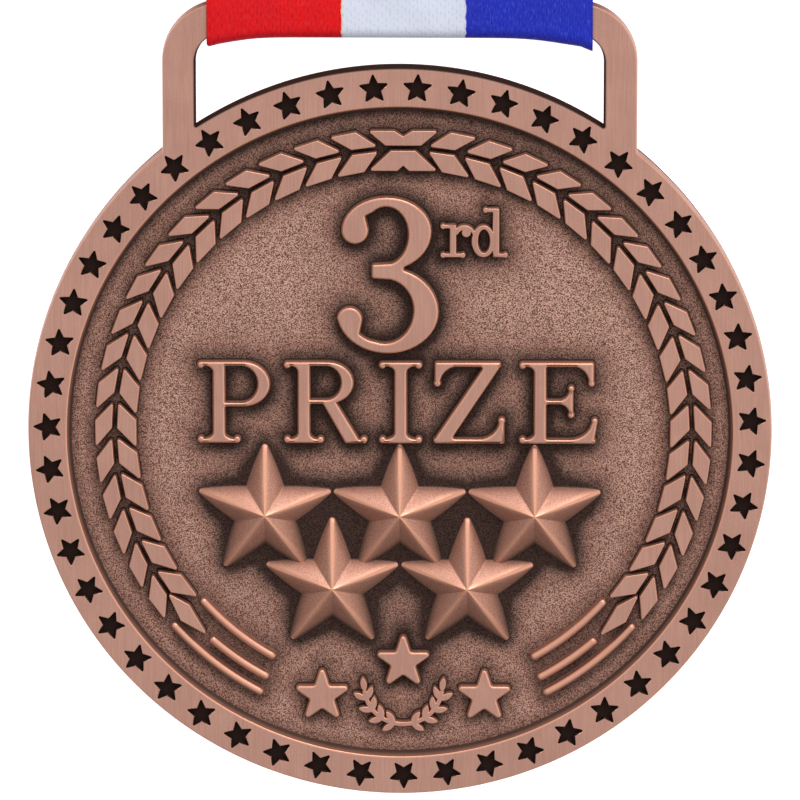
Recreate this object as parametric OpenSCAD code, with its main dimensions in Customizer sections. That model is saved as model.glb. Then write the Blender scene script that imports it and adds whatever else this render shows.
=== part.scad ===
// Third-place award medal: a one-piece die-cast disc with an integral ribbon loop,
// hung on a striped double-layer neck ribbon whose length is folded up behind the loop.
// Origin: centre of the disc's back face. +Z is out of the front face, +Y runs to the ribbon.

/* [Disc] */
// Diameter of the disc
disc_d = 74; // [72:0.5:78]
// Thickness of the disc at its rim
disc_t = 3; // [2.8:0.1:3.4]
// Width of the flat raised rim
rim_w = 3.9; // [3.6:0.1:4.4]
// Depth of the front field below the rim
field_depth = 1.1; // [0.8:0.05:1.2]
// Width of the raised border on the back
back_border = 3.5; // [2:0.1:6]
// Depth of the recess in the back
back_depth = 0.4; // [0.2:0.05:0.5]

/* [Ribbon loop] */
// Outer width of the loop across its two legs
loop_w = 46.8; // [44:0.2:48]
// Distance from the disc's centre to the top of the loop's bar
loop_top = 43.6; // [43:0.2:45]
// Width of a leg and of the bar
loop_bar = 3.15; // [2.8:0.05:3.3]
// Thickness of the loop
loop_t = 2; // [1.6:0.1:2.2]
// Outer corner radius of the loop
loop_r = 6.05; // [5.5:0.05:6.5]

/* [Rim stars] */
// Number of stars punched into the rim
rim_stars = 51; // [40:1:56]
// Tip radius of one rim star
rim_star_r = 1.42; // [1:0.02:1.5]
// Depth of the star pockets
rim_star_depth = 1; // [0.5:0.1:1.2]
// Angle by which the first star is turned from straight down
rim_star_turn = 0.66; // [0:0.02:7]

/* [Wreath] */
// Leaf pairs on each side of the wreath
leaf_pairs = 17; // [12:1:17]
// Angle from one leaf pair to the next
leaf_pitch = 7.2; // [6.8:0.1:7.3]
// Radius of the wreath's outer edge
wreath_r = 30.65; // [30:0.05:31]

/* [Stars on the field] */
// Tip radius of the five raised faceted stars
big_star_r = 7.05; // [6:0.05:7.1]
// Height of a faceted star's peak above the field
big_star_h = 2.3; // [1.5:0.1:2.6]
// Tip radius of the three flat stars
small_star_r = 2.85; // [2.4:0.05:3]

/* [Ribbon] */
// Width of the ribbon
ribbon_w = 38.1; // [30:0.1:38.5]
// Thickness of one layer of ribbon
ribbon_t = 0.5; // [0.4:0.05:0.55]
// Length of one folded panel
panel_l = 64; // [40:1:90]
// Number of panels that the neck ribbon is folded into
panels = 6; // [6:1:6]
// Where the lead-in ends and the first panel begins
stack_y = 60; // [58:1:70]
// Space between stacked panels
stack_gap = 0.15; // [0.1:0.01:0.3]

/* [Hidden] */
$fn = 64;
copper = [0.72, 0.53, 0.46];
ribbon_red = [0.84, 0.1, 0.12];
thread_white = [0.9, 0.9, 0.92];

disc_r = disc_d / 2;
field_r = disc_r - rim_w;
field_z = disc_t - field_depth;
embed = 0.2;                          // how far raised work starts below the field
relief_h = field_depth + embed;
ring_r = disc_r - 2;                  // circle that the rim stars sit on

loop_z = disc_t - loop_t;             // the loop's back stands clear of a table
leg_x = loop_w / 2;
corner_x = leg_x - loop_r;
corner_y = loop_top - loop_r;
bar_y = loop_top - loop_bar;          // inner edge of the bar
slot_r = loop_r - loop_bar;

emblem = [0.35, 0.25];                // centre that the wreath and lower emblem are drawn about
leaf_start = 95.15;                   // angle of the first leaf pair's leading corner
leaf_back = 4.9;                      // length of a leaf, as an angle
spine_out = wreath_r - 1.6;
spine_in = wreath_r - 2.2;
leaf_in = wreath_r - 4;

fit_gap = 0.1;                        // between the ribbon and the casting
panel_t = 2 * ribbon_t;
pitch_z = panel_t + stack_gap;
seam_y = 54;                          // where the two layers meet
bend_y0 = 44.5;
bend_y1 = 50;
half_w = ribbon_w / 2;
wrap_z0 = loop_z - fit_gap - ribbon_t;
wrap_z1 = disc_t + fit_gap + ribbon_t;

function ring_pt(r, a) = [r * cos(a), r * sin(a)];
function arc(c, rx, ry, a0, a1, n) =
    [for (i = [0:n]) let (a = a0 + (a1 - a0) * i / n) [c[0] + rx * cos(a), c[1] + ry * sin(a)]];
function star_pts(r, inner) =
    [for (i = [0:9]) ring_pt(i % 2 == 0 ? r : r * inner, 90 + 36 * i)];

// ---------- disc and loop ----------

module slot_outline(inset) {
    translate([-leg_x + loop_bar + inset, 20])
        square([loop_w - 2 * loop_bar - 2 * inset, corner_y - 20]);
    translate([-corner_x, 20])
        square([2 * corner_x, bar_y - inset - 20]);
    for (s = [-1, 1])
        translate([s * corner_x, corner_y]) circle(r = slot_r - inset);
}

module loop_outline() {
    difference() {
        union() {
            translate([-leg_x, 20]) square([loop_w, corner_y - 20]);
            translate([-corner_x, 20]) square([2 * corner_x, loop_top - 20]);
            for (s = [-1, 1])
                translate([s * corner_x, corner_y]) circle(r = loop_r);
        }
        slot_outline(0);
    }
}

module star(r, inner = 0.42) {
    polygon(star_pts(r, inner));
}

module ring_of_stars() {
    for (i = [0:rim_stars - 1]) {
        a = -90 + rim_star_turn + i * 360 / rim_stars;
        rotate(a - 90) translate([0, ring_r]) star(rim_star_r, 0.44);
    }
}

// ---------- wreath ----------

module leaf_pair(a) {
    polygon([ring_pt(spine_out, a), ring_pt(wreath_r, a + 3.7),
             ring_pt(wreath_r, a + 8.5), ring_pt(spine_out, a + leaf_back + 0.1)]);
    polygon([ring_pt(spine_in, a), ring_pt(spine_in, a + leaf_back + 0.1),
             ring_pt(leaf_in, a + 9), ring_pt(leaf_in, a + 3.2)]);
}

module wreath_half() {
    for (i = [0:leaf_pairs - 1])
        leaf_pair(leaf_start + i * leaf_pitch);
    // single leaf that closes the branch
    a = leaf_start + leaf_pairs * leaf_pitch - 2.2;
    polygon([ring_pt(spine_out - 0.25, a), ring_pt(spine_out + 0.45, a + 5.7),
             ring_pt(spine_out - 0.4, a + 11.3), ring_pt(spine_in - 0.6, a + 4.4)]);
}

module wreath_crown() {
    polygon([[-3.4, 30.45], [-1.75, 29.05], [1.75, 29.05], [3.4, 30.45],
             [0.9, 30.45], [0, 29.88], [-0.9, 30.45]]);
    polygon([[-1.2, 28.45], [-3.3, 26.5], [-0.6, 26.5], [0, 27.05],
             [0.6, 26.5], [3.3, 26.5], [1.2, 28.45]]);
}

// the three round stems under each branch: radius, start angle, end angle
stems = [[26.55, 220.3, 241.4], [28.7, 227.6, 242.2], [30.4, 220.3, 242.7]];
stem_d = 0.9;

module stem(s) {
    rotate(s[1])
        rotate_extrude(angle = s[2] - s[1])
            translate([s[0], field_z + 0.38]) circle(d = stem_d, $fn = 24);
}

// ---------- lettering ----------

module numeral_three() {
    up = [-1.3, 20.6];
    low = [-1.2, 12.45];
    up_in = [-1.35, 20.3];
    low_in = [-1.5, 12.6];
    polygon(concat(
        arc(up, 4.45, 3.45, 180, 0, 18), arc(up, 4.45, 3.9, -8, -66, 7), [[0.38, 16.88]],
        arc(low, 5.05, 4.45, 71, 0, 8), arc(low, 5.05, 4.2, -7, -168, 20),
        arc([-4.97, 11.65], 1.25, 1.25, 172, 0, 10), [[-4.02, 10.2], [-3.5, 9.82], [-3, 9.56]],
        arc(low_in, 2.9, 3.35, -108, 0, 11), arc(low_in, 2.9, 3.2, 8, 78, 7),
        [[-2.75, 15.85], [-2.75, 17.25]],
        arc(up_in, 2.22, 3.05, -76, 0, 8), arc(up_in, 2.22, 2.8, 10, 128, 10),
        [[-3.45, 22.15]], arc([-4.43, 20.65], 1.32, 1.32, 12, -172, 13)));
}

// flat-footed serif with bracketed sides, standing on y = 0; sides lists -1 for left, 1 for right
module foot(half_stem, half_foot, sides = [-1, 1]) {
    rise = 1.05;
    slab = 0.4;
    reach = half_foot - 0.35;
    for (s = sides)
        mirror([s < 0 ? 1 : 0, 0]) {
            polygon(concat([[0, 0], [half_foot, 0], [half_foot, slab]],
                arc([reach, rise], reach - half_stem, rise - slab, -90, -180, 5), [[0, rise]]));
            translate([half_foot - 0.05, 0.33]) circle(r = 0.33, $fn = 20);
        }
}

cap_h = 8.25;
stem_w = 1.18;

module upright(x) {
    translate([x - stem_w / 2, 0]) square([stem_w, cap_h]);
}

module bowl(bottom, reach) {
    mid = (cap_h + bottom) / 2;
    half = (cap_h - bottom) / 2;
    difference() {
        polygon(concat([[1.8, cap_h]], arc([4.2, mid], reach - 4.2, half, 90, -90, 16),
                       [[1.8, bottom]]));
        polygon(concat([[2.3, cap_h - 0.4]],
                       arc([4, mid], reach - 5.2, half - 0.4, 90, -90, 16),
                       [[2.3, bottom + 0.4]]));
    }
}

module letter_p() {
    upright(1.78);
    translate([1.78, 0]) foot(stem_w / 2, 1.85);
    translate([1.78, cap_h]) mirror([0, 1]) foot(stem_w / 2, 1.85, [-1]);
    bowl(3.7, 6.85);
}

module letter_r() {
    upright(1.78);
    translate([1.78, 0]) foot(stem_w / 2, 1.7);
    translate([1.78, cap_h]) mirror([0, 1]) foot(stem_w / 2, 1.7, [-1]);
    bowl(4, 6.7);
    polygon([[3.5, 4.3], [4.9, 4.3], [7.25, 0.35], [7.9, 0.35], [7.9, 0], [5.9, 0]]);
    translate([7.75, 0.33]) circle(r = 0.33, $fn = 20);
}

module letter_i() {
    upright(1.85);
    translate([1.85, 0]) foot(stem_w / 2, 1.85);
    translate([1.85, cap_h]) mirror([0, 1]) foot(stem_w / 2, 1.85);
}

module letter_z() {
    polygon([[0.1, 0.3], [1.75, 0.3], [6.75, 7.9], [5.15, 7.9]]);
    translate([0.2, 7.8]) square([6.55, cap_h - 7.8]);
    translate([0.1, 0]) square([6.8, 0.45]);
    polygon(concat([[0.2, 8]], arc([2.6, 6.1], 1.9, 1.75, 90, 180, 6), [[0.2, 6.1]]));
    polygon(concat([[7.1, 0]], arc([4.4, 2.3], 2.2, 1.9, -90, 0, 6), [[7.1, 2.3]]));
    translate([0.45, 6.1]) circle(r = 0.33, $fn = 20);
    translate([6.85, 2.3]) circle(r = 0.33, $fn = 20);
}

module letter_e() {
    upright(1.78);
    translate([1.78, 0]) foot(stem_w / 2, 1.8, [-1]);
    translate([1.78, cap_h]) mirror([0, 1]) foot(stem_w / 2, 1.8, [-1]);
    translate([1.5, cap_h - 0.42]) square([5.6, 0.42]);
    translate([1.5, 0]) square([5.8, 0.42]);
    translate([1.5, 4.02]) square([3.2, 0.4]);
    polygon(concat([[7.1, cap_h], [7.1, 6.1]], arc([4.9, 6.1], 1.75, 1.8, 0, 90, 6)));
    polygon(concat([[7.1, 0], [7.5, 2.3], [7, 2.3]], arc([4.6, 2.3], 2.3, 1.9, -10, -90, 6)));
    polygon(concat(arc([3.6, 5.6], 1.1, 1.2, -90, 0, 5), [[5.05, 5.6], [5.05, 2.9]],
                   arc([3.6, 2.9], 1.1, 1.14, 0, 90, 5)));
    for (p = [[6.87, 6.1], [7.2, 2.3], [4.86, 5.6], [4.86, 2.9]])
        translate(p) circle(r = 0.3, $fn = 20);
}

// lower-case ordinal ending beside the numeral
module ordinal() {
    // r
    translate([5, 18.1]) square([0.58, 3.15]);
    translate([4.3, 18.05]) square([1.95, 0.34]);
    translate([4.3, 20.95]) square([1.1, 0.34]);
    difference() {
        translate([6.4, 20.1]) circle(r = 1.15, $fn = 40);
        translate([6.5, 20]) circle(r = 0.82, $fn = 40);
        translate([5, 18]) square([3, 2.3]);
    }
    translate([6.6, 20.5]) circle(r = 0.43, $fn = 24);
    // d
    difference() {
        polygon(arc([8.3, 19.65], 1.15, 1.6, 0, 348, 29));
        polygon(arc([8.35, 19.65], 0.62, 1.2, 0, 348, 29));
    }
    translate([9.25, 18.1]) square([0.58, 4.85]);
    translate([8.5, 22.6]) square([1.2, 0.35]);
    translate([9.3, 18.05]) square([1.15, 0.34]);
    for (p = [[4.3, 18.22], [6.25, 18.22], [4.3, 21.12], [8.5, 22.77], [10.45, 18.25]])
        translate(p) circle(r = 0.24, $fn = 20);
}

module word() {
    translate([-19.75, -0.9]) letter_p();
    translate([-11.3, -0.9]) letter_r();
    translate([-1.75, -0.9]) letter_i();
    translate([3.3, -0.9]) letter_z();
    translate([12.2, -0.9]) letter_e();
}

// ---------- small emblem ----------

sprig_r = 3.9;
sprig_w = 0.42;

module sprig_leaf(length, width) {
    // pointed oval along +Y from the origin
    r = (length * length + width * width) / (4 * width);
    intersection() {
        translate([r - width / 2, length / 2]) circle(r = r, $fn = 48);
        translate([width / 2 - r, length / 2]) circle(r = r, $fn = 48);
    }
}

module sprig() {
    intersection() {
        difference() {
            circle(r = sprig_r + sprig_w / 2, $fn = 96);
            circle(r = sprig_r - sprig_w / 2, $fn = 96);
        }
        rotate(187) square(20);
    }
    for (i = [0:3])
        rotate(258 - 19 * i) translate([sprig_r, 0])
            for (splay = [-42, 42])
                rotate(180 + splay) sprig_leaf(1.5, 0.62);
    rotate(188) translate([sprig_r, 0]) rotate(180) sprig_leaf(1.5, 0.62);
}

// ---------- casting ----------

module flat_relief() {
    numeral_three();
    ordinal();
    word();
    translate(emblem) {
        wreath_half();
        mirror([1, 0]) wreath_half();
        wreath_crown();
    }
    translate([emblem[0], -23.4]) star(small_star_r, 0.45);
    for (s = [-1, 1])
        translate([emblem[0] + s * 8.13, -26.9]) star(small_star_r, 0.45);
    translate([emblem[0], -25.9]) {
        sprig();
        mirror([1, 0]) sprig();
    }
}

// five-pointed star with ten flat facets that rise to one peak
module faceted_star() {
    skirt = 0.15;
    base = [for (p = star_pts(big_star_r, 0.43)) [p[0], p[1], -embed]];
    edge = [for (p = star_pts(big_star_r, 0.43)) [p[0], p[1], skirt]];
    polyhedron(
        points = concat(base, edge, [[0, 0, big_star_h], [0, 0, -embed]]),
        faces = concat(
            [for (i = [0:9]) [21, i, (i + 1) % 10]],
            [for (i = [0:9]) [i, i + 10, (i + 1) % 10 + 10]],
            [for (i = [0:9]) [i, (i + 1) % 10 + 10, (i + 1) % 10]],
            [for (i = [0:9]) [i + 10, 20, (i + 1) % 10 + 10]]));
}

big_star_places = [[-13.45, -8.1], [0, -8.1], [13.45, -8.1], [-6.75, -15.6], [6.75, -15.6]];

module medal_casting() color(copper) {
    difference() {
        union() {
            cylinder(h = disc_t, r = disc_r, $fn = 180);
            translate([0, 0, loop_z]) linear_extrude(loop_t) loop_outline();
        }
        translate([0, 0, field_z]) cylinder(h = disc_t, r = field_r, $fn = 180);
        translate([0, 0, -1]) cylinder(h = 1 + back_depth, r = disc_r - back_border, $fn = 180);
        translate([0, 0, disc_t - rim_star_depth]) linear_extrude(disc_t) ring_of_stars();
    }
    translate([0, 0, field_z - embed]) linear_extrude(relief_h) flat_relief();
    for (p = big_star_places)
        translate([p[0], p[1], field_z]) faceted_star();
    for (s = stems) {
        translate([emblem[0], emblem[1], 0]) stem(s);
        translate([emblem[0], emblem[1], 0]) mirror([1, 0, 0]) stem(s);
    }
}

// ---------- ribbon ----------

module wrap_plan(inset) {
    difference() {
        translate([-half_w, 38]) square([ribbon_w, bend_y0 - 38]);
        slot_outline(inset);
    }
}

// ribbon round the bar: over the top, down the slot and out underneath
module ribbon_wrap() color(ribbon_red) {
    difference() {
        translate([0, 0, wrap_z0]) linear_extrude(wrap_z1 - wrap_z0)
            wrap_plan(fit_gap + ribbon_t);
        translate([0, 0, wrap_z0 + ribbon_t])
            linear_extrude(wrap_z1 - wrap_z0 - 2 * ribbon_t)
                difference() {
                    translate([-half_w - 1, 38]) square([ribbon_w + 2, 10]);
                    slot_outline(fit_gap);
                }
    }
}

// height of a layer's underside at y, between the bar and the seam
function opening(y) = (seam_y - y) / (seam_y - bend_y0);
function front_z(y) = ribbon_t + (wrap_z1 - 2 * ribbon_t) * opening(y);
function back_z(y) = wrap_z0 * opening(y);

// extrudes a shape drawn in the Y-Z plane across the ribbon's width
module across() {
    translate([-half_w, 0, 0]) rotate([90, 0, 90]) linear_extrude(ribbon_w) children();
}

module layers(y0, y1) {
    polygon([[y0, front_z(y0)], [y1, front_z(y1)],
             [y1, front_z(y1) + ribbon_t], [y0, front_z(y0) + ribbon_t]]);
    polygon([[y0, back_z(y0)], [y1, back_z(y1)],
             [y1, back_z(y1) + ribbon_t], [y0, back_z(y0) + ribbon_t]]);
}

// short length that flexes when the ribbon swings
module ribbon_bend() color(ribbon_red) {
    across() layers(bend_y0, bend_y1 - fit_gap);
}

module ribbon_panel_1() color(ribbon_red) {
    across() {
        layers(bend_y1, seam_y);
        translate([seam_y, 0]) square([stack_y + panel_l - seam_y, panel_t]);
    }
}

module panel(i) {
    // odd panels end short at the near fold, even panels at the far fold
    z = (i - 1) * pitch_z;
    across() translate([stack_y + fit_gap, z]) square([panel_l - 2 * fit_gap, panel_t]);
}

// half-round fold between panel i and the one above it
module fold(i) {
    far = i % 2 == 1;
    y = far ? stack_y + panel_l - (i == 1 ? 0 : fit_gap) : stack_y + fit_gap;
    z = (i - 1) * pitch_z + panel_t + stack_gap / 2;
    r = panel_t + stack_gap / 2;
    translate([-half_w, y, z]) rotate([0, 90, 0])
        intersection() {
            cylinder(h = ribbon_w, r = r, $fn = 48);
            translate([-2 * r, far ? 0 : -2 * r, 0]) cube([4 * r, 2 * r, ribbon_w]);
        }
}

module ribbon_panel_2() color(ribbon_red) panel(2);
module ribbon_panel_3() color(ribbon_red) panel(3);
module ribbon_panel_4() color(ribbon_red) panel(4);
module ribbon_panel_5() color(ribbon_red) panel(5);
module ribbon_panel_6() color(ribbon_red) panel(6);
module ribbon_fold_1() color(ribbon_red) fold(1);
module ribbon_fold_2() color(ribbon_red) fold(2);
module ribbon_fold_3() color(ribbon_red) fold(3);
module ribbon_fold_4() color(ribbon_red) fold(4);
module ribbon_fold_5() color(ribbon_red) fold(5);

// sewing thread of the seam that closes the neck loop above the bar
stitch_l = 2;
stitch_pitch = 2.85;
stitch_rows = [1.4, 3.6];             // distances of the two rows from where the layers meet
thread_d = 0.3;
thread_z = 0.05;                      // underside of the thread ends, just inside the ribbon

module stitch() {
    translate([-stitch_l / 2, 0, panel_t])
        rotate([0, 90, 0]) cylinder(h = stitch_l, d = thread_d, $fn = 16);
    for (s = [-1, 1])
        translate([s * stitch_l / 2, 0, thread_z]) cylinder(h = panel_t, d = thread_d, $fn = 16);
}

module seam_stitching() color(thread_white) {
    for (row = stitch_rows, i = [-6:6])
        translate([i * stitch_pitch, seam_y + row, 0]) stitch();
}

medal_casting();
ribbon_wrap();
ribbon_bend();
seam_stitching();
ribbon_panel_1();
ribbon_panel_2();
ribbon_panel_3();
ribbon_panel_4();
ribbon_panel_5();
ribbon_panel_6();
ribbon_fold_1();
ribbon_fold_2();
ribbon_fold_3();
ribbon_fold_4();
ribbon_fold_5();
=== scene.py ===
"""Third-place award medal on a striped neck ribbon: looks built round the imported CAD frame.

All shape code works in millimetres, in the row frame, and meshes are scaled to metres when made.
"""

import math

import bpy
import numpy as np
from mathutils import Matrix, Vector, geometry


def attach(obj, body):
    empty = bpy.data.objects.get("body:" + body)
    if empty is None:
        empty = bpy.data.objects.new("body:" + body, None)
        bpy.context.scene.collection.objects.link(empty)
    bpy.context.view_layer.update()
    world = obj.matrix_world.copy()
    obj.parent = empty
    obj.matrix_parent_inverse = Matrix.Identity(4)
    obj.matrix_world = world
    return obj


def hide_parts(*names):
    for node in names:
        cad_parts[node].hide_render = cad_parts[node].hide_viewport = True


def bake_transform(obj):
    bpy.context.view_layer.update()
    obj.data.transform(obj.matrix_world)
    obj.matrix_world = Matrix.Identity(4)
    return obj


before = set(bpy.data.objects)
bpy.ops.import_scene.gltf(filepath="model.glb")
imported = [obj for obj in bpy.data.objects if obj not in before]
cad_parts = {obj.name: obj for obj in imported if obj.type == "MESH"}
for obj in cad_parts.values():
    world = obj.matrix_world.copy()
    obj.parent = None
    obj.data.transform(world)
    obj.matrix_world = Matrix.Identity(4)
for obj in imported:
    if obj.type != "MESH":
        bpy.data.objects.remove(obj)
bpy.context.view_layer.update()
MM = 0.001

# ---------------------------------------------------------------- real sizes, mm
DISC_R, FIELD_R = 37.0, 33.1
FACE_Z, FIELD_Z = 3.0, 1.9
BACK_BORDER, BACK_Z = 3.5, 0.4
LOOP_Z = 1.0
LOOP_TOP, BAR_Y = 43.6, 40.45
CORNER_X, CORNER_Y, LOOP_R, SLOT_R = 17.35, 37.55, 6.05, 2.9
EMBLEM = (0.35, 0.25)
STAR_R, STAR_H, STAR_INNER = 7.05, 2.3, 0.447
STAR_TIP, STAR_FULL = 7.3, 0.2
STAR_PLACES = [(-13.45, -8.1), (0, -8.1), (13.45, -8.1), (-6.75, -15.6), (6.75, -15.6)]
STEMS = [(26.55, 220.3, 241.4), (28.7, 227.6, 242.2), (30.4, 220.3, 242.7)]
STEM_D = 0.9
RIBBON_W = 38.1
SEAM_Y, STACK_Y, PANEL_L, PANELS = 54.0, 60.0, 64.0, 6
PITCH_Z, PANEL_T = 1.15, 1.0

# ---------------------------------------------------------------- camera
CAM_AIM = Vector((0.04, 3.55, 3.0)) * MM
CAM_DISTANCE = 789.4 * MM
CAM_TILT, CAM_YAW = math.radians(12.555), math.radians(0.833)
back = Vector((math.sin(CAM_YAW) * math.cos(CAM_TILT), math.sin(CAM_TILT),
               math.cos(CAM_YAW) * math.cos(CAM_TILT)))
right = Vector((math.cos(CAM_YAW), 0, -math.sin(CAM_YAW)))
up = back.cross(right)
camera_data = bpy.data.cameras.new("camera")
camera_data.lens, camera_data.sensor_width = 357.3, 36.0
camera_data.clip_start, camera_data.clip_end = 0.05, 20
camera = bpy.data.objects.new("camera", camera_data)
bpy.context.scene.collection.objects.link(camera)
camera.matrix_world = Matrix((
    (right.x, up.x, back.x, CAM_AIM.x + back.x * CAM_DISTANCE),
    (right.y, up.y, back.y, CAM_AIM.y + back.y * CAM_DISTANCE),
    (right.z, up.z, back.z, CAM_AIM.z + back.z * CAM_DISTANCE),
    (0, 0, 0, 1)))
bpy.context.scene.camera = camera
bpy.context.scene.view_settings.view_transform = "Standard"


# ---------------------------------------------------------------- outlines
SMALLEST_OUTLINE = 0.05         # mm2
ON_CIRCLE, LONGEST_ARC = 0.012, 0.4     # mm off a circle, and radians along it, for a true arc
SIDE_SHARE = 0.46               # share of a side that the rounding of one corner may use
CLOSEST_POINTS = 0.004          # mm


def signed_area(p):
    x, y = p[:, 0], p[:, 1]
    return 0.5 * float(np.sum(x * np.roll(y, -1) - y * np.roll(x, -1)))


def turned(a, b):
    """Signed turn from angle a to angle b, at most half a turn."""
    return (b - a + math.pi) % (2 * math.pi) - math.pi


def corner_arc(corner, u, v, radius, reach, turn):
    """Centre, first angle and sweep of the arc that rounds a corner with sides along u and v."""
    middle = (u + v) / max(np.hypot(*(u + v)), 1e-9)
    centre = corner + middle * radius / math.cos(turn / 2)
    start, end = corner + u * reach - centre, corner + v * reach - centre
    first = math.atan2(start[1], start[0])
    return centre, first, turned(first, math.atan2(end[1], end[0]))


def arc_points(centre, radius, first, sweep, steps):
    """Points of an arc, with both of its ends."""
    angles = [first + sweep * k / steps for k in range(steps + 1)]
    return [centre + radius * np.array((math.cos(t), math.sin(t))) for t in angles]


def face_outlines(obj, z):
    """Closed outlines of obj's upward faces at height z: material on the left of each."""
    me = obj.data
    me.calc_loop_triangles()
    co = np.array([v.co for v in me.vertices], float) / MM
    tri = np.array([t.vertices[:] for t in me.loop_triangles], int)
    points, same = np.unique(np.round(co, 4), axis=0, return_inverse=True)
    tri = same.ravel()[tri]
    p = points[tri]
    normal = np.cross(p[:, 1] - p[:, 0], p[:, 2] - p[:, 0])
    tri = tri[(np.abs(p[:, :, 2] - z).max(1) < 1e-3) & (normal[:, 2] > 0)]
    edges = {(int(t[k]), int(t[(k + 1) % 3])) for t in tri for k in range(3)}
    border = sorted(e for e in edges if (e[1], e[0]) not in edges)
    following = {}
    for a, b in border:
        following.setdefault(a, []).append(b)
    loops, used = [], set()
    for first in border:
        if first in used:
            continue
        edge, loop = first, []
        while edge not in used:
            used.add(edge)
            loop.append(edge[0])
            nexts = [b for b in following[edge[1]] if (edge[1], b) not in used]
            if not nexts:
                break
            edge = (edge[1], nexts[0])
        loops.append(points[loop][:, :2])
    return [p for p in loops if len(p) > 2 and abs(signed_area(p)) > SMALLEST_OUTLINE]


def refine_arcs(p, circles, step=1.2):
    """Adds points where the outline runs along one of these circles, so that they stay round."""
    out = []
    for i in range(len(p)):
        a, b = p[i], p[(i + 1) % len(p)]
        out.append(a)
        for cx, cy, r in circles:
            da, db = a - (cx, cy), b - (cx, cy)
            if max(abs(np.hypot(*da) - r), abs(np.hypot(*db) - r)) > ON_CIRCLE:
                continue
            a0, a1 = math.atan2(da[1], da[0]), math.atan2(db[1], db[0])
            turn = turned(a0, a1)
            if abs(turn) > LONGEST_ARC:
                continue
            n = int(math.ceil(abs(math.degrees(turn)) / step))
            for k in range(1, n):
                t = a0 + turn * k / n
                out.append(np.array((cx + r * math.cos(t), cy + r * math.sin(t))))
            break
    return np.array(out)


def fillet(p, radius, sharp=18, steps=5):
    """Rounds the corners of a closed outline."""
    out, n = [], len(p)
    for i in range(n):
        a, b, c = p[i - 1], p[i], p[(i + 1) % n]
        u, v = a - b, c - b
        lu, lv = np.hypot(*u), np.hypot(*v)
        if lu < 1e-6 or lv < 1e-6:
            continue
        u, v = u / lu, v / lv
        turn = math.pi - math.acos(max(-1, min(1, float(u @ v))))
        if math.degrees(turn) < sharp:
            out.append(b)
            continue
        reach = min(radius * math.tan(turn / 2), SIDE_SHARE * lu, SIDE_SHARE * lv)
        r = reach / math.tan(turn / 2)
        centre, first, sweep = corner_arc(b, u, v, r, reach, turn)
        out += arc_points(centre, r, first, sweep, steps)
    out = np.array(out)
    keep = np.hypot(*(out - np.roll(out, 1, axis=0)).T) > CLOSEST_POINTS
    return out[keep]


def offset(p, d):
    """The outline moved d away from its material, with mitred corners."""
    before, after = p - np.roll(p, 1, axis=0), np.roll(p, -1, axis=0) - p
    n0 = np.stack([before[:, 1], -before[:, 0]], 1) / np.hypot(*before.T)[:, None]
    n1 = np.stack([after[:, 1], -after[:, 0]], 1) / np.hypot(*after.T)[:, None]
    miter = (n0 + n1) / np.maximum(1 + np.sum(n0 * n1, 1), 0.35)[:, None]
    return p + d * miter


def crossings(y, a, b):
    """Where the edges that run from a to b cross the height y."""
    cross = (a[:, 1] > y) != (b[:, 1] > y)
    return a[cross, 0] + (y - a[cross, 1]) / (b[cross, 1] - a[cross, 1]) * (b[cross, 0] - a[cross, 0])


def inside(point, a, b):
    """True where point is inside the outline whose edges run from a to b."""
    return bool(np.sum(crossings(point[1], a, b) > point[0]) % 2)


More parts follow.
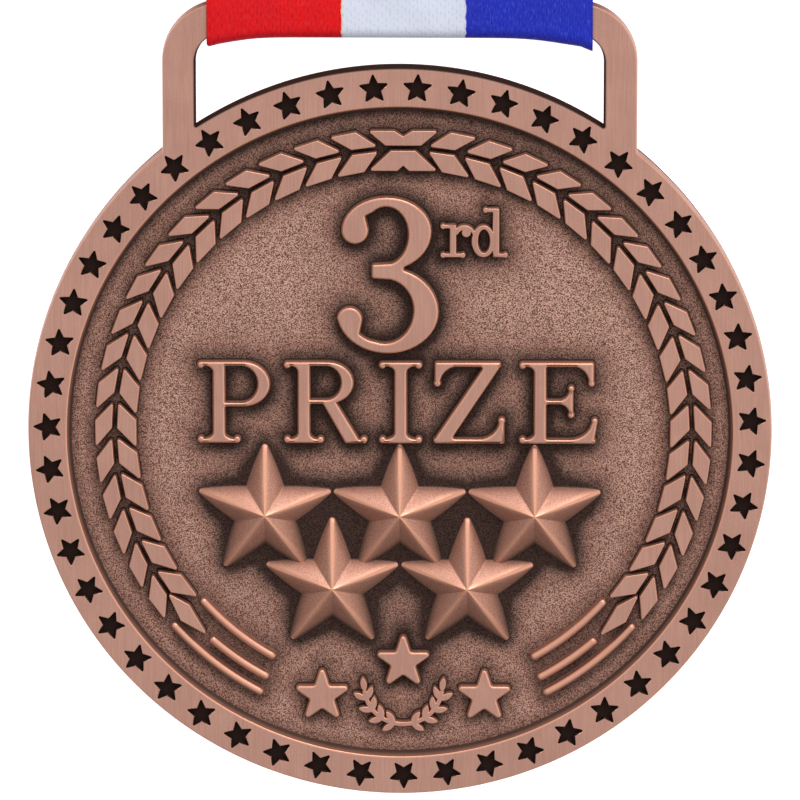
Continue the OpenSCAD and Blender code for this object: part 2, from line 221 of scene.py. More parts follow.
# ---------------------------------------------------------------- mesh maker
class Maker:
    """Collects points (mm), faces and the finish values that the copper material reads."""

    def __init__(self):
        self.points, self.faces, self.values, self.count = [], [], [], 0

    def add(self, xyz, patina=0.0, polish=0.0, sand=0.0):
        xyz = np.asarray(xyz, float)
        first = self.count
        value = np.zeros((len(xyz), 3))
        value[:, 0], value[:, 1], value[:, 2] = patina, polish, sand
        self.points.append(xyz)
        self.values.append(value)
        self.count += len(xyz)
        return np.arange(first, self.count)

    def ring(self, outline, z, **finish):
        z = np.broadcast_to(z, len(outline))
        return self.add(np.column_stack([outline, z]), **finish)

    def bridge(self, a, b):
        """Quads between two rings of the same length, b below or inside a."""
        for i in range(len(a)):
            j = (i + 1) % len(a)
            self.faces.append((a[i], b[i], b[j], a[j]))

    def cap(self, rings, flip=False):
        """A flat face bounded by the first ring and pierced by the rest."""
        allp = np.concatenate(self.points)
        index = [int(i) for ring in rings for i in ring]
        flat = allp[index][:, :2]
        edges, first = [], 0
        for ring in rings:
            n = len(ring)
            edges += [(first + k, first + (k + 1) % n) for k in range(n)]
            first += n
        verts, _, faces, source, _, _ = geometry.delaunay_2d_cdt(
            [Vector(p) for p in flat], edges, [], 0, 1e-6)
        where = [index[origin[0]] if origin else None for origin in source]
        for k, at in enumerate(where):
            if at is None:
                z = allp[index[0]][2]
                where[k] = int(self.add([(verts[k][0], verts[k][1], z)])[0])
        centres = np.array([np.mean([verts[k] for k in f], axis=0) for f in faces])
        a = flat[[e[0] for e in edges]]
        b = flat[[e[1] for e in edges]]
        keep = np.array([inside(c, a, b) for c in centres])
        for f, wanted in zip(faces, keep):
            if wanted:
                tri = [where[k] for k in f]
                self.faces.append(tuple(tri[::-1] if flip else tri))

    def fan(self, ring, centre, flip=False):
        """Triangles from a ring to one point."""
        for i in range(len(ring)):
            a, b = ring[i], ring[(i + 1) % len(ring)]
            self.faces.append((b, a, centre) if flip else (a, b, centre))

    def make(self, name, body, material):
        me = bpy.data.meshes.new(name)
        me.from_pydata((np.concatenate(self.points) * MM).tolist(), [],
                       [tuple(int(i) for i in f) for f in self.faces])
        me.update()
        me.polygons.foreach_set("use_smooth", [True] * len(me.polygons))
        values = np.concatenate(self.values)
        # The first value is patina, with painted shade and painted light added in places
        for k, key in enumerate(("patina", "polish", "sand")):
            me.attributes.new(key, "FLOAT", "POINT").data.foreach_set(
                "value", values[:, k].astype(np.float32))
        obj = bpy.data.objects.new(name, me)
        bpy.context.scene.collection.objects.link(obj)
        me.materials.append(material)
        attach(obj, body)
        return obj


# ---------------------------------------------------------------- materials
def node(tree, kind, inputs=None, **settings):
    """A new node: each input is linked to a socket, or set when its value is plain."""
    n = tree.nodes.new(kind)
    for key, value in settings.items():
        setattr(n, key, value)
    for key, value in (inputs or {}).items():
        if isinstance(value, bpy.types.NodeSocket):
            tree.links.new(value, n.inputs[key])
        else:
            n.inputs[key].default_value = value
    return n


def rgb(r, g, b):
    """An sRGB colour, 0 to 255, as linear values."""
    return tuple((c / 255 / 12.92 if c < 11 else ((c / 255 + 0.055) / 1.055) ** 2.4)
                 for c in (r, g, b)) + (1.0,)


def new_material(name):
    m = bpy.data.materials.new(name)
    m.use_nodes = True
    m.node_tree.nodes.clear()
    return m, m.node_tree


def millimetres(tree, scale):
    """Object coordinates in mm, stretched by scale."""
    c = node(tree, "ShaderNodeTexCoord")
    return node(tree, "ShaderNodeMapping", {
        "Vector": c.outputs["Object"], "Scale": [s / MM for s in scale]}).outputs[0]


def noise(tree, scale, detail=2.0, rough=0.5):
    return node(tree, "ShaderNodeTexNoise", {
        "Vector": millimetres(tree, scale), "Scale": 1.0, "Detail": detail,
        "Roughness": rough}).outputs["Fac"]


def remap(tree, value, lo, hi, out_lo, out_hi):
    """value eased from lo..hi to out_lo..out_hi."""
    return node(tree, "ShaderNodeMapRange", {
        "Value": value, "From Min": lo, "From Max": hi, "To Min": out_lo, "To Max": out_hi},
        interpolation_type="SMOOTHSTEP").outputs["Result"]


def mix(tree, fac, a, b):
    """Colour a turned into colour b by fac. Inputs 6 and 7 are the mix node's colours."""
    return node(tree, "ShaderNodeMix", {0: fac, 6: a, 7: b}, data_type="RGBA").outputs[2]


def math_node(tree, op, a, b=0.0, clamp=False):
    return node(tree, "ShaderNodeMath", {0: a, 1: b}, operation=op, use_clamp=clamp).outputs[0]


def attribute(tree, name):
    return node(tree, "ShaderNodeAttribute", attribute_name=name).outputs["Fac"]


def antique_copper():
    """Brushed and sand-blasted copper plate, blackened in its recesses and rubbed bright on edges. The
    blackening also paints shade below raised work and on the stars' lower arms, and is thinned on side
    walls as painted light.
    """
    m, t = new_material("antique_copper")
    patina, polish, sand = (attribute(t, a) for a in ("patina", "polish", "sand"))
    brush = noise(t, (6.0, 0.22, 0.6), detail=3.0, rough=0.6)
    streak = noise(t, (13.0, 0.5, 1.5), detail=2.0, rough=0.6)
    grain = noise(t, (8.6, 8.6, 8.6), detail=1.0, rough=0.5)
    speck = noise(t, (11.0, 11.0, 11.0), detail=1.0)
    cloud = noise(t, (0.16, 0.16, 0.16), detail=3.0, rough=0.6)
    plate, light_plate, bright_streak = rgb(187, 140, 124), rgb(196, 150, 134), rgb(210, 168, 152)
    pit, grain_top, spark = rgb(92, 60, 50), rgb(216, 170, 152), rgb(232, 198, 184)
    tarnish, bare_copper = rgb(120, 84, 74), rgb(222, 160, 133)
    thin_soot_and_shade, thick_soot_and_shade = rgb(96, 50, 36), rgb(34, 24, 22)
    face = mix(t, remap(t, brush, 0.3, 0.7, 0, 1), plate, light_plate)
    face = mix(t, remap(t, streak, 0.35, 0.7, 0, 0.2), face, bright_streak)
    blasted = mix(t, remap(t, grain, 0.38, 0.62, 0, 1), pit, grain_top)
    blasted = mix(t, remap(t, speck, 0.54, 0.7, 0, 0.6), blasted, spark)
    colour = mix(t, sand, face, blasted)
    face_grain = remap(t, grain, 0.36, 0.64, 0.09, 0.0)
    colour = mix(t, face_grain, colour, tarnish)
    colour = mix(t, remap(t, cloud, 0.3, 0.7, 0.0, 0.14), colour, tarnish)
    colour = mix(t, polish, colour, bare_copper)
    wear_and_side_light = math_node(t, "ADD", patina, remap(t, grain, 0.3, 0.7, -0.16, 0.16))
    # The blackened colour below is patina, and also painted shade and painted light where the
    # attribute carries them
    dark = math_node(t, "MULTIPLY", math_node(t, "MINIMUM", patina, 1.0),
                     remap(t, wear_and_side_light, 0.0, 0.5, 0.75, 1.0), clamp=True)
    soot_and_shade = mix(t, remap(t, dark, 0.25, 0.8, 0, 1), thin_soot_and_shade, thick_soot_and_shade)
    colour = mix(t, dark, colour, soot_and_shade)
    rough = remap(t, streak, 0.3, 0.7, 0.36, 0.46)
    rough = math_node(t, "ADD", rough, math_node(t, "MULTIPLY", sand, 0.1))
    rough = math_node(t, "SUBTRACT", rough, math_node(t, "MULTIPLY", polish, 0.12), clamp=True)
    flat = math_node(t, "SUBTRACT", 1.0, sand, clamp=True)
    lines = math_node(t, "MULTIPLY", flat, math_node(t, "ADD", brush, streak))
    height = math_node(t, "ADD", math_node(t, "MULTIPLY", lines, 0.25),
                       math_node(t, "MULTIPLY", grain, math_node(t, "ADD", sand, 0.05)))
    rough = math_node(t, "ADD", rough, math_node(t, "MULTIPLY", dark, 0.3), clamp=True)
    metal = remap(t, dark, 0.1, 0.9, 0.88, 0.0)
    bump = node(t, "ShaderNodeBump", {"Strength": 0.6, "Distance": 0.05 * MM, "Height": height})
    shader = node(t, "ShaderNodeBsdfPrincipled", {
        "Base Color": colour, "Metallic": metal, "Roughness": rough, "Specular IOR Level": 0.0,
        "Normal": bump.outputs["Normal"]})
    node(t, "ShaderNodeOutputMaterial", {"Surface": shader.outputs[0]})
    return m


def woven_ribbon():
    """Printed polyester satin: three stripes across the width, fine staggered dashes of the weave."""
    m, t = new_material("woven_ribbon")
    uv = node(t, "ShaderNodeUVMap", uv_map="weave").outputs[0]
    parts = node(t, "ShaderNodeSeparateXYZ", {"Vector": uv})
    across, along = parts.outputs[0], parts.outputs[1]
    wobble = noise(t, (1.1, 1.1, 1.1), detail=2.0)
    ragged = math_node(t, "ADD", along, remap(t, wobble, 0.3, 0.7, -0.25, 0.25))
    edge = math_node(t, "ADD", across, remap(t, wobble, 0.3, 0.7, -0.06, 0.06))
    red, white, blue = rgb(217, 9, 12), rgb(209, 214, 229), rgb(28, 42, 174)
    red_ends, white_begins, blue_begins = (-5.78, -5.7), (-5.66, -5.56), (6.42, 6.58)
    unprinted, dark_thread, light_thread = rgb(226, 200, 170), (0.02, 0.0, 0.03, 1), (0.9, 0.9, 1.0, 1)
    colour = mix(t, remap(t, edge, *red_ends, 0, 1), red, unprinted)
    colour = mix(t, remap(t, edge, *white_begins, 0, 1), colour, white)
    colour = mix(t, remap(t, edge, *blue_begins, 0, 1), colour, blue)
    lanes = math_node(t, "MULTIPLY", across, 2.6)
    stagger = math_node(t, "MULTIPLY", math_node(t, "FLOOR", lanes), 0.391)
    lane = math_node(t, "SINE", math_node(t, "MULTIPLY", math_node(t, "FRACT", lanes), math.pi))
    lane = remap(t, lane, 0.75, 1.0, 0, 1)
    beat = math_node(t, "SINE", math_node(
        t, "MULTIPLY", math_node(t, "ADD", math_node(t, "MULTIPLY", ragged, 1.1), stagger),
        2 * math.pi))
    dash = math_node(t, "MULTIPLY", lane, remap(t, beat, 0.0, 0.75, 0, 1))
    plain = math_node(t, "MULTIPLY", remap(t, edge, *white_begins, 0, 1),
                      remap(t, edge, *blue_begins, 1, 0))
    strength = math_node(t, "SUBTRACT", 0.5, math_node(t, "MULTIPLY", plain, 0.3))
    fibre = node(t, "ShaderNodeTexNoise", {
        "Vector": node(t, "ShaderNodeMapping", {"Vector": uv, "Scale": (9, 1.6, 1)}).outputs[0],
        "Scale": 1.0, "Detail": 3.0, "Roughness": 0.6}).outputs["Fac"]
    colour = mix(t, math_node(t, "MULTIPLY", dash, strength), colour, mix(
        t, 0.55, dark_thread, colour))
    colour = mix(t, remap(t, fibre, 0.45, 0.75, 0, 0.025), colour, light_thread)
    bright = math_node(t, "MULTIPLY", remap(t, fibre, 0.5, 0.68, 0, 0.3),
                       remap(t, edge, *blue_begins, 0, 1))
    colour = mix(t, bright, colour, rgb(74, 96, 220))
    # painted shade: the red and blue go darker close to where the ribbon folds over the bar
    fold_shade = math_node(t, "MULTIPLY", remap(t, along, 0.5, 1.5, 0.3, 0),
                       math_node(t, "SUBTRACT", 1.0, plain))
    colour = mix(t, fold_shade, colour, (0.06, 0.0, 0.04, 1))
    cloud = noise(t, (0.22, 0.22, 0.22), detail=2.0)
    colour = mix(t, remap(t, cloud, 0.35, 0.7, 0, 0.08), colour, (0.02, 0.01, 0.05, 1))
    height = math_node(t, "ADD", math_node(t, "MULTIPLY", dash, -1.0), fibre)
    bump = node(t, "ShaderNodeBump", {"Strength": 0.5, "Distance": 0.05 * MM, "Height": height})
    shader = node(t, "ShaderNodeBsdfPrincipled", {
        "Base Color": colour, "Roughness": remap(t, fibre, 0.3, 0.7, 0.5, 0.66),
        "Sheen Weight": 0.04, "Sheen Roughness": 0.4, "Specular IOR Level": 0.12,
        "Normal": bump.outputs["Normal"]})
    node(t, "ShaderNodeOutputMaterial", {"Surface": shader.outputs[0]})
    return m


def sewing_thread():
    m, t = new_material("sewing_thread")
    twist = node(t, "ShaderNodeTexWave", {
        "Vector": millimetres(t, (1, 1.2, 1)), "Scale": 2.2, "Distortion": 0.4},
        bands_direction="DIAGONAL").outputs["Fac"]
    colour = mix(t, twist, rgb(196, 200, 212), rgb(240, 241, 246))
    bump = node(t, "ShaderNodeBump", {"Strength": 0.6, "Distance": 0.04 * MM, "Height": twist})
    shader = node(t, "ShaderNodeBsdfPrincipled", {
        "Base Color": colour, "Roughness": 0.6, "Sheen Weight": 0.3,
        "Normal": bump.outputs["Normal"]})
    node(t, "ShaderNodeOutputMaterial", {"Surface": shader.outputs[0]})
    return m


copper, weave, thread = antique_copper(), woven_ribbon(), sewing_thread()

# ---------------------------------------------------------------- casting: outlines from the frame
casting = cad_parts["medal_casting"]
CIRCLES = [(0, 0, DISC_R), (0, 0, FIELD_R)]
for s in (-1, 1):
    CIRCLES += [(s * CORNER_X, CORNER_Y, LOOP_R), (s * CORNER_X, CORNER_Y, SLOT_R)]
outlines = face_outlines(casting, FACE_Z)
outlines.sort(key=lambda p: -abs(signed_area(p)))
outer = refine_arcs(outlines[0], CIRCLES)
field_edge = refine_arcs(outlines[1], CIRCLES)
slot = refine_arcs(outlines[2], CIRCLES)
rest = outlines[3:]
on_rim = [np.hypot(*p.mean(0)) > FIELD_R for p in rest]
pockets = [p for p, r in zip(rest, on_rim) if r]
raised = [p for p, r in zip(rest, on_rim) if not r]

# ---------------------------------------------------------------- rim, loop and star pockets
rim = Maker()


def walled(maker, outline, profile, wear_and_side_light=0.0):
    """Rings round an outline. Profile rows are distance out, height, patina, polish, sand.

    The last argument takes patina off a wall where it faces sideways or down, so those walls are
    lighter: painted light.
    """
    # walls that face sideways or down are lightened here: painted light
    facing = offset(outline, 1.0) - outline
    facing /= np.hypot(*facing.T)[:, None]
    facing = np.clip(1.3 * np.abs(facing[:, 0]) + np.clip(-facing[:, 1], 0, 1), 0, 1)
    rings = []
    for out, z, patina, polish, sand in profile:
        rings.append(maker.ring(offset(outline, out), z, patina=patina * (1 - wear_and_side_light * facing),
                                polish=polish, sand=sand))
    for a, b in zip(rings, rings[1:]):
        maker.bridge(a, b)
    return rings


OUTER_WALL = [
    (-0.2, 3.0, 0, 0, 0), (-0.13, 3.0, 0, 0.2, 0), (-0.09, 2.99, 0.3, 0.5, 0),
    (-0.065, 2.96, 0.7, 0, 0), (-0.05, 2.9, 0.97, 0, 0), (0.03, 2.2, 0.97, 0, 0.3),
    (0.06, 1.62, 0.95, 0, 0), (0.07, 1.5, 0.93, 0, 0), (0.03, 1.42, 0.9, 0, 0),
    (0.0, 1.16, 0.8, 0, 0), (-0.04, 1.05, 0.5, 0, 0), (-0.14, 1.0, 0.3, 0, 0),
    (-0.3, 1.0, 0, 0, 0)]
SLOT_WALL = [
    (-0.2, 3.0, 0, 0, 0), (-0.13, 3.0, 0.2, 0, 0), (-0.07, 2.985, 0.7, 0, 0),
    (-0.02, 2.94, 0.9, 0, 0), (0.0, 2.86, 0.97, 0, 0), (0.1, 1.62, 0.97, 0, 0),
    (0.12, 1.5, 0.95, 0, 0), (0.1, 1.4, 0.95, 0, 0), (0.0, 1.14, 0.95, 0, 0),
    (-0.05, 1.04, 0.9, 0, 0), (-0.13, 1.0, 0.4, 0, 0), (-0.3, 1.0, 0, 0, 0)]
FIELD_WALL = [
    (-0.24, 3.0, 0, 0, 0), (-0.16, 3.0, 0, 0.4, 0), (-0.09, 2.985, 0, 1.0, 0),
    (-0.04, 2.95, 0.1, 0.9, 0), (-0.01, 2.88, 0.6, 0.6, 0), (0.22, 2.15, 0.88, 0, 0),
    (0.34, 1.95, 0.88, 0, 0), (0.42, 1.86, 0.9, 0, 0), (0.42, 1.7, 0.9, 0, 0)]
POCKET_WALL = [
    (-0.15, 3.0, 0, 0, 0), (-0.11, 3.0, 0, 0.3, 0), (-0.09, 2.985, 0.3, 0.5, 0),
    (-0.08, 2.93, 0.95, 0, 0), (-0.05, 2.1, 0.97, 0, 0), (0.0, 2.0, 0.97, 0, 0)]
# the outer wall is painted lighter where it faces sideways or down: painted light
outer_r = walled(rim, fillet(outer, 0.5), OUTER_WALL, wear_and_side_light=0.75)
slot_r = walled(rim, fillet(slot, 0.4), SLOT_WALL)
field_r = walled(rim, fillet(field_edge, 0.2), FIELD_WALL)
star_rings = [walled(rim, fillet(p, 0.03, steps=3), POCKET_WALL) for p in pockets]
rim.cap([outer_r[0], slot_r[0], field_r[0]] + [r[0] for r in star_rings])
rim.cap([outer_r[-1], slot_r[-1]], flip=True)
rim.cap([field_r[-1]])
for r in star_rings:
    rim.cap([r[-1]])
rim_obj = rim.make("medal_rim_and_loop", "medal", copper)

# ---------------------------------------------------------------- disc body and back
disc = Maker()
TURN = np.radians(np.arange(0, 360, 1.0))
CIRCLE = np.stack([np.cos(TURN), np.sin(TURN)], 1)
BODY_TOP = 1.46                 # hidden under the field's mesh
back_r = DISC_R - BACK_BORDER
# radius, height, patina, polish, sand
DISC_PROFILE = [
    (20.0, BODY_TOP, 0.5, 0, 0), (36.9, BODY_TOP, 0.5, 0, 0), (37.08, 1.44, 0.75, 0.2, 0),
    (37.06, 1.3, 0.93, 0, 0), (37.01, 0.3, 0.93, 0, 0.3), (36.97, 0.12, 0.5, 0.6, 0),
    (36.9, 0.04, 0, 0.9, 0), (36.8, 0.0, 0, 0.4, 0), (36.7, 0.0, 0, 0, 0),
    (back_r + 0.24, 0.0, 0, 0, 0), (back_r + 0.14, 0.0, 0, 0.5, 0),
    (back_r + 0.04, 0.03, 0.1, 0.9, 0), (back_r, 0.1, 0.5, 0.3, 0),
    (back_r - 0.12, 0.36, 0.85, 0, 0), (back_r - 0.24, 0.4, 0.8, 0, 1),
    (back_r - 1.0, 0.4, 0.4, 0, 1), (back_r - 2.4, 0.4, 0.1, 0, 1)]
rings = [disc.ring(CIRCLE * r, z, patina=p, polish=q, sand=g) for r, z, p, q, g in DISC_PROFILE]
for a, b in zip(rings, rings[1:]):
    disc.bridge(a, b)
centre_top = disc.add([(0, 0, BODY_TOP)], patina=0.5)
disc.fan(rings[0], centre_top[0])
for r in (24.0, 16.0, 8.0, 2.0):
    nxt = disc.ring(CIRCLE * r, BACK_Z, sand=1.0, patina=0.05)
    disc.bridge(rings[-1], nxt)
    rings.append(nxt)
centre_back = disc.add([(0, 0, BACK_Z)], sand=1.0, patina=0.05)
disc.fan(rings[-1], centre_back[0], flip=True)
disc_obj = disc.make("medal_disc_back", "medal", copper)

# ---------------------------------------------------------------- raised work on the field
# An outline's place or area tells what it is, mm and mm2.
ORDINAL_X, ORDINAL_Y = (4, 10.6), (17, 24)      # the ordinal ending beside the numeral
SPRIG_TOP = -27.2                               # the sprigs lie below this
LEAF_RING, LEAF_LOWEST = (24, 31), -20          # the wreath's leaves, round the emblem's centre
FLAT_STAR_AREA = 10.74
TIP_FROM, TIP_PUSH = 0.8, 1.19                  # a flat star's tips are pushed out by this share


def relief_profile(soft, grow):
    """Wall of a raised shape: soft is its rounded edge's width, grow how far it is swelled."""
    rows = [(-soft - 0.04, 3.0, 0, 0, 0), (-soft, 3.0, 0, 0.35, 0),
            (-0.55 * soft, 3.0 - 0.1 * soft, 0, 0.8, 0), (-0.22 * soft, 3.0 - 0.4 * soft, 0, 1.0, 0),
            (-0.04 * soft, 3.0 - 0.8 * soft, 0.15, 1.0, 0), (0.02, 2.7, 0.55, 0.6, 0),
            (0.08, 2.15, 0.9, 0, 0), (0.13, 1.95, 0.97, 0, 0), (0.17, 1.8, 0.97, 0, 0)]
    return [(out + grow, *row) for out, *row in rows]


relief = Maker()
worked = []
for p in raised:
    centre = p.mean(0)
    ordinal = (ORDINAL_X[0] < centre[0] < ORDINAL_X[1]
               and ORDINAL_Y[0] < centre[1] < ORDINAL_Y[1])
    small = ordinal or centre[1] < SPRIG_TOP
    hole = signed_area(p) < 0
    leaf = (LEAF_RING[0] < np.hypot(*(centre - EMBLEM)) < LEAF_RING[1]
            and centre[1] > LEAF_LOWEST and not small)
    soft = 0.09 if small or leaf else 0.23
    radius = 0.1 if small or hole or leaf else 0.2
    if abs(abs(signed_area(p)) - FLAT_STAR_AREA) < 0.2:
        arm = np.hypot(*(p - centre).T)
        p = np.where((arm > TIP_FROM * arm.max())[:, None], centre + (p - centre) * TIP_PUSH, p)
        radius = 0.3
    line = fillet(p, radius, steps=4)
    grow = 0.05 if leaf else 0.02
    rings = walled(relief, line, relief_profile(soft, grow))
    worked.append((rings[0], rings[-1], hole, line))
solid = [r for r in worked if not r[2]]
holes = [r for r in worked if r[2]]
for top, base, _, line in solid:
    mine = [h for h in holes if inside(h[3][0], line, np.roll(line, -1, axis=0))]
    relief.cap([top] + [h[0] for h in mine])
    relief.cap([base] + [h[1] for h in mine], flip=True)
relief_obj = relief.make("medal_raised_work", "medal", copper)

# ---------------------------------------------------------------- faceted stars
stars = Maker()


def star_outline():
    """Outline of one star: full-sided arms with slightly rounded tips."""
    points = []
    for k in range(5):
        for way in (-1, 1):
            tip = np.array((STAR_TIP, 0.0))
            notch = STAR_R * STAR_INNER * np.array((math.cos(math.radians(36)),
                                                    way * math.sin(math.radians(36))))
            bend = (tip + notch) / 2 + np.array((0.5, way * 0.86)) * STAR_FULL
            places = np.array([0, 0.36, 0.44, 0.52, 0.6, 0.7, 0.79, 0.87, 0.94, 1])
            places = places[::-1] if way < 0 else places[1:-1]
            side = [(1 - f) ** 2 * tip + 2 * f * (1 - f) * bend + f * f * notch for f in places]
            c, q = math.cos(math.radians(90 + 72 * k)), math.sin(math.radians(90 + 72 * k))
            points += [(x * c - y * q, x * q + y * c) for x, y in side]
    return fillet(np.array(points), 0.3, sharp=28, steps=6)


star_line = star_outline()
star_turn = np.arctan2(star_line[:, 1], star_line[:, 0])
star_r = np.hypot(*star_line.T)
SHARES = [1.0, 0.975, 0.94, 0.88, 0.8, 0.71, 0.61, 0.51, 0.41, 0.31, 0.21, 0.12, 0.05]
off_ridge = np.radians((np.degrees(star_turn) - 90 + 36) % 72 - 36)
for cx, cy in STAR_PLACES:
    rings = []
    direction = star_line / star_r[:, None]
    for z, d, pat in ((-0.15, 0.2, 0.95), (0.0, 0.14, 0.93), (0.16, 0.04, 0.8)):
        rings.append(stars.ring(offset(star_line, d) + (cx, cy), FIELD_Z + z, patina=pat,
                                sand=0.5))
    for share in SHARES:
        line = star_line * share
        h = np.full(len(line), STAR_H * (1 - share) ** 0.82)
        ridge = np.exp(-(off_ridge * np.hypot(*line.T) / 0.2) ** 2)
        h -= 0.05 * ridge * min(1, 4 * share)
        # low is 1 on the lower arms, which are painted darker: painted shade; the rise towards the
        # base is patina
        low = np.clip(0.5 - 0.5 * direction[:, 1], 0, 1)
        pat = (0.1 + 0.05 * low + share ** 3 * (0.3 + 0.45 * low)) * (1 - 0.9 * ridge)
        rings.append(stars.ring(line + (cx, cy), FIELD_Z + 0.2 + h, patina=pat,
                                polish=0.35 + 0.65 * ridge, sand=0.5 * (1 - ridge)))
    for a, b in zip(rings, rings[1:]):
        stars.bridge(b, a)
    top = stars.add([(cx, cy, FIELD_Z + 0.2 + STAR_H - 0.02)], polish=0.8)
    stars.fan(rings[-1], top[0])
    stars.cap([rings[0]], flip=True)
stars_obj = stars.make("medal_faceted_stars", "medal", copper)

# ---------------------------------------------------------------- stems
STEM_LIFT, STEM_CROWN = 0.42, 1.15      # centre above the field, and height against width
STEM_FOOT, STEM_SINK = 0.1, 0.12        # how far the foot spreads, and how far it is sunk
STEM_END = 0.4                          # length over which an end is rounded


def stem_section(mirror, radius, angle, grow):
    """Points round a stem at one angle: grow is 1 in its middle and less at its ends."""
    rows = []
    for q in np.radians(np.linspace(-20, 200, 17)):
        r = radius + 0.5 * STEM_D * grow * math.cos(q)
        z = FIELD_Z + STEM_LIFT + 0.5 * STEM_D * grow * math.sin(q) * STEM_CROWN
        if math.sin(q) < 0:
            z = FIELD_Z - STEM_SINK
            r = radius + (0.5 * STEM_D + STEM_FOOT) * grow * math.copysign(1, math.cos(q))
        rows.append((EMBLEM[0] + mirror * r * math.cos(angle), EMBLEM[1] + r * math.sin(angle), z))
    return rows


stems = Maker()
for mirror in (1, -1):
    for radius, a0, a1 in STEMS:
        arc = np.radians(np.linspace(a0, a1, 40))
        rings = []
        for a in arc:
            s = min(radius * (a - arc[0]), radius * (arc[-1] - a))
            grow = math.sqrt(max(1 - (1 - min(s / STEM_END, 1)) ** 2, 0.0009))
            rows = stem_section(mirror, radius, a, grow)
            h = np.clip((np.array(rows)[:, 2] - FIELD_Z) / 0.9, 0, 1)
            rings.append(stems.add(rows, patina=np.clip(1.0 - 1.6 * h, 0, 1),
                                   polish=np.clip(h * 1.2 - 0.2, 0, 0.6)))
        for a, b in zip(rings, rings[1:]):
            for i in range(len(a)):
                j = (i + 1) % len(a)
                quad = (a[i], a[j], b[j], b[i])
                stems.faces.append(quad if mirror < 0 else quad[::-1])
        for end, sign in ((rings[0], 1), (rings[-1], -1)):
            face = tuple(end) if sign * mirror > 0 else tuple(end)[::-1]
            stems.faces.append(face)
stems_obj = stems.make("medal_branch_stems", "medal", copper)

# ---------------------------------------------------------------- field, darkened beside raised work, with painted shade below raised work and under the rim's top
PITCH = 0.25                    # between the field's points, mm
MARGIN, TUCKED = 0.3, 0.28      # how far the grid, and the mesh, run in under the rim
SKIRT_Z = 1.74                  # the field's mesh is closed below at this height
GRAIN_SIZE, GRAIN_Z = 0.14, 0.012
half_n = int(math.ceil((FIELD_R + MARGIN) / PITCH))
axis = np.arange(-half_n, half_n + 1) * PITCH
xs, ys = np.meshgrid(axis, axis)
dist = np.hypot(xs, ys)


def stem_outline(mirror, radius, a0, a1):
    """Closed outline of a stem, seen from above."""
    arc = np.radians(np.linspace(a0, a1, 30))
    sides = [(radius + STEM_D / 2, arc), (radius - STEM_D / 2, arc[::-1])]
    return np.array([(EMBLEM[0] + mirror * r * math.cos(a), EMBLEM[1] + r * math.sin(a))
                     for r, row in sides for a in row])


def covered_points(shapes):
    """1 at the grid's points that raised work covers, 0 at the others."""
    count = np.zeros(xs.shape)
    for iy, y in enumerate(axis):
        for line in shapes:
            if not line[:, 1].min() <= y <= line[:, 1].max():
                continue
            at = np.sort(crossings(y, line, np.roll(line, -1, axis=0)))
            for x0, x1 in zip(at[::2], at[1::2]):
                count[iy, (axis > x0) & (axis < x1)] += 1
    return (count % 2 > 0).astype(float)


def blurred(image, sigma, outside=1.0):
    """image blurred over sigma mm, with the value outside past its edges."""
    reach = int(math.ceil(3 * sigma / PITCH))
    k = np.exp(-0.5 * (np.arange(-reach, reach + 1) * PITCH / sigma) ** 2)
    k /= k.sum()
    wide = np.pad(image, reach, constant_values=outside)
    wide = np.apply_along_axis(lambda m: np.convolve(m, k, "valid"), 0, wide)
    return np.apply_along_axis(lambda m: np.convolve(m, k, "valid"), 1, wide)


def gap_to(covered):
    """Distance from the nearest covered point, found by sweeps of short steps."""
    gap = np.where(covered > 0.5, 0.0, 99.0)
    for _ in range(20):
        for dy, dx in ((0, 1), (1, 0), (1, 1), (1, -1), (1, 2), (2, 1), (1, -2), (2, -1)):
            for sign in (1, -1):
                moved = np.roll(gap, (sign * dy, sign * dx), (0, 1)) + PITCH * math.hypot(dy, dx)
                gap = np.minimum(gap, moved)
    return gap


def field_patina(covered, middle):
    """How black the field is: most beside raised work, and more where such work is crowded. Painted
    shadow is added just below raised work and on the field's top part under the rim.
    """
    gap, around = gap_to(covered), blurred(covered, 0.8)
    # painted shadow: the field just below raised work is darkened, as if the work shades it
    above = np.roll(blurred(covered, 0.5), -int(round(1.1 / PITCH)), axis=0)
    black = 0.52 * np.exp(-(gap / 1.6) ** 2) + 0.06 * np.exp(-(gap / 3.8) ** 2) + 0.3 * above
    # the top part of the field, under the rim's top edge, is darker: partly patina and partly painted
    # shade
    black += 0.24 * np.clip(ys / np.maximum(dist, 1) - 0.3, 0, 1) * np.clip(dist - 26, 0, 1)
    black += 1.35 * blurred(middle, 2.8, outside=0.0)
    return np.clip(black + 1.3 * np.clip(around - 0.45, 0, 1), 0, 0.93)


def border_loop(quads):
    """The points round the edge of the quads, in order."""
    edges = {(int(f[k]), int(f[(k + 1) % 4])) for f in quads for k in range(4)}
    following = {a: b for a, b in edges if (b, a) not in edges}
    loop = [min(following)]
    while following[loop[-1]] != loop[0]:
        loop.append(following[loop[-1]])
    return loop


shapes = [line for _, _, _, line in worked]
shapes += [stem_outline(mirror, *stem) for stem in STEMS for mirror in (1, -1)]
shapes += [star_line + place for place in STAR_PLACES]
covered = covered_points(shapes)
middle = covered * (dist < 25)
field_patina_and_shade_map = field_patina(np.maximum(covered, (dist > FIELD_R)), middle)
rng = np.random.default_rng(7)
sand_z = blurred(rng.normal(size=xs.shape), GRAIN_SIZE)
sand_z = GRAIN_Z * sand_z / sand_z.std()
use = dist < FIELD_R + TUCKED
index = -np.ones(xs.shape, int)
index[use] = np.arange(use.sum())
field = Maker()
field.add(np.column_stack([xs[use], ys[use], FIELD_Z + sand_z[use]]),
          patina=field_patina_and_shade_map[use], sand=1.0)
corners = [index[:-1, :-1], index[:-1, 1:], index[1:, 1:], index[1:, :-1]]
full = np.all([k >= 0 for k in corners], axis=0)
quads = np.stack([k[full] for k in corners], 1)
field.faces.extend(map(tuple, quads.tolist()))
